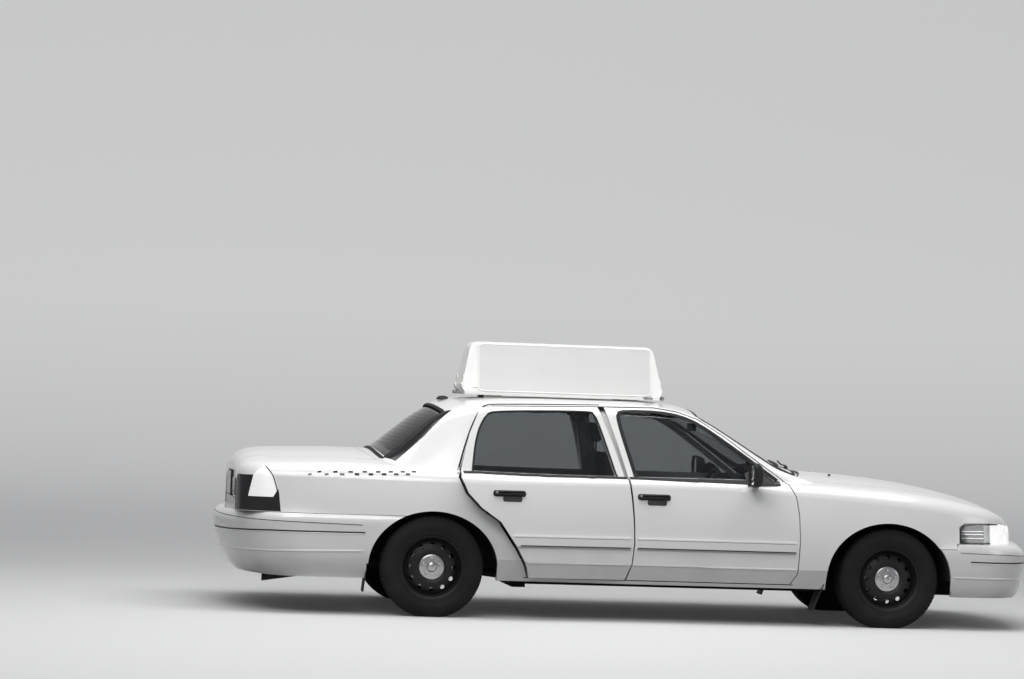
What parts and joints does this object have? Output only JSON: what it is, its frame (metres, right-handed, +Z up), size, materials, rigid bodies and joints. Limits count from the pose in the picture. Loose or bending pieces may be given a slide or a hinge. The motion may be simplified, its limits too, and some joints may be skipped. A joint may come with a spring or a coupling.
{
  "type": "taxi saloon car",
  "caption": "Long-wheelbase taxi saloon with a sign box on its roof; its doors, hood and trunk lid open, and its front wheels steer.",
  "frame": {"origin": "on the ground under the middle of the car's length and width", "axes": "+X towards the nose, +Y to the car's left, +Z up"},
  "size_m": [5.544, 2.275, 1.837],
  "materials": {
    "body_paint": "gloss clear coat",
    "chassis_black": "satin underbody paint",
    "glass": "clear, lightly tinted",
    "black_plastic": "moulded black",
    "lamp_clear": "clear lens",
    "lamp_rear": "pale rear lens",
    "sign_white": "satin white",
    "tyre_rubber": "worn black",
    "wheel_black": "satin black steel",
    "cast_metal": "cast",
    "bare_steel": "dull",
    "axle_iron": "rough",
    "seat_cloth": "dark cloth",
    "dash_plastic": "grained"
  },
  "bodies": {
    "root": {"chassis_frame": "chassis_black", "floor_pan": "chassis_black", "wheel_houses": "chassis_black", "radiator_support": "chassis_black", "side_frames": "body_paint", "roof": "body_paint", "fenders": "body_paint", "quarter_panels": "body_paint", "rear_deck": "body_paint", "cowl": "black_plastic", "rear_panel": "black_plastic", "windshield": "glass", "backlight": "glass", "front_bumper": "body_paint", "rear_bumper": "body_paint", "grille": "black_plastic", "headlamps": "lamp_clear", "tail_lamps": "lamp_rear", "roof_sign": "sign_white", "engine": "cast_metal", "fuel_tank": "chassis_black", "exhaust": "bare_steel", "dash": "dash_plastic", "steering_wheel": "dash_plastic", "front_seats": "seat_cloth", "rear_seat": "seat_cloth", "front_suspension": "chassis_black", "rear_axle": "axle_iron"},
    "front_door_right": {"front_door_right": "body_paint", "front_door_glass_right": "glass", "mirror_right": "black_plastic"},
    "front_door_left": {"front_door_left": "body_paint", "front_door_glass_left": "glass", "mirror_left": "black_plastic"},
    "rear_door_right": {"rear_door_right": "body_paint", "rear_door_glass_right": "glass"},
    "rear_door_left": {"rear_door_left": "body_paint", "rear_door_glass_left": "glass"},
    "hood": {"hood": "body_paint"},
    "trunk_lid": {"trunk_lid": "body_paint"},
    "knuckle_right": {"knuckle_right": "axle_iron"},
    "knuckle_left": {"knuckle_left": "axle_iron"},
    "wheel_front_right": {"wheel_front_right": "wheel_black", "tyre_front_right": "tyre_rubber"},
    "wheel_front_left": {"wheel_front_left": "wheel_black", "tyre_front_left": "tyre_rubber"},
    "wheel_rear_right": {"wheel_rear_right": "wheel_black", "tyre_rear_right": "tyre_rubber"},
    "wheel_rear_left": {"wheel_rear_left": "wheel_black", "tyre_rear_left": "tyre_rubber"}
  },
  "joints": [
    {"name": "front_door_right_hinge", "type": "hinge", "parent": "root", "child": "front_door_right", "pos_m": [1.0615, -0.99, 0.6], "axis": [0, 0, 1], "range_deg": [0, 65]},
    {"name": "front_door_left_hinge", "type": "hinge", "parent": "root", "child": "front_door_left", "pos_m": [1.0615, 0.99, 0.6], "axis": [0, 0, 1], "range_deg": [-65, 0]},
    {"name": "rear_door_right_hinge", "type": "hinge", "parent": "root", "child": "rear_door_right", "pos_m": [-0.0495, -0.99, 0.6], "axis": [0, 0, 1], "range_deg": [-7, 58]},
    {"name": "rear_door_left_hinge", "type": "hinge", "parent": "root", "child": "rear_door_left", "pos_m": [-0.0495, 0.99, 0.6], "axis": [0, 0, 1], "range_deg": [-65, 0]},
    {"name": "hood_hinge", "type": "hinge", "parent": "root", "child": "hood", "pos_m": [1.0365, 0, 1], "axis": [0, -1, 0], "range_deg": [0, 50]},
    {"name": "trunk_lid_hinge", "type": "hinge", "parent": "root", "child": "trunk_lid", "pos_m": [-1.7435, 0, 1.1], "axis": [0, 1, 0], "range_deg": [0, 65]},
    {"name": "steer_right", "type": "hinge", "parent": "root", "child": "knuckle_right", "pos_m": [1.6865, -0.74, 0.338], "axis": [0, 0, 1], "range_deg": [-32, 32]},
    {"name": "steer_left", "type": "hinge", "parent": "root", "child": "knuckle_left", "pos_m": [1.6865, 0.74, 0.338], "axis": [0, 0, 1], "range_deg": [-32, 32]},
    {"name": "wheel_front_right_spin", "type": "hinge", "parent": "knuckle_right", "child": "wheel_front_right", "pos_m": [1.6865, -0.805, 0.338], "axis": [0, 1, 0], "continuous": true},
    {"name": "wheel_front_left_spin", "type": "hinge", "parent": "knuckle_left", "child": "wheel_front_left", "pos_m": [1.6865, 0.805, 0.338], "axis": [0, 1, 0], "continuous": true},
    {"name": "wheel_rear_right_spin", "type": "hinge", "parent": "root", "child": "wheel_rear_right", "pos_m": [-1.3795, -0.833, 0.338], "axis": [0, 1, 0], "continuous": true},
    {"name": "wheel_rear_left_spin", "type": "hinge", "parent": "root", "child": "wheel_rear_left", "pos_m": [-1.3795, 0.833, 0.338], "axis": [0, 1, 0], "continuous": true}
  ],
  "couplings": [
    {"joint": "steer_left", "follows": "steer_right", "ratio": 1}
  ]
}
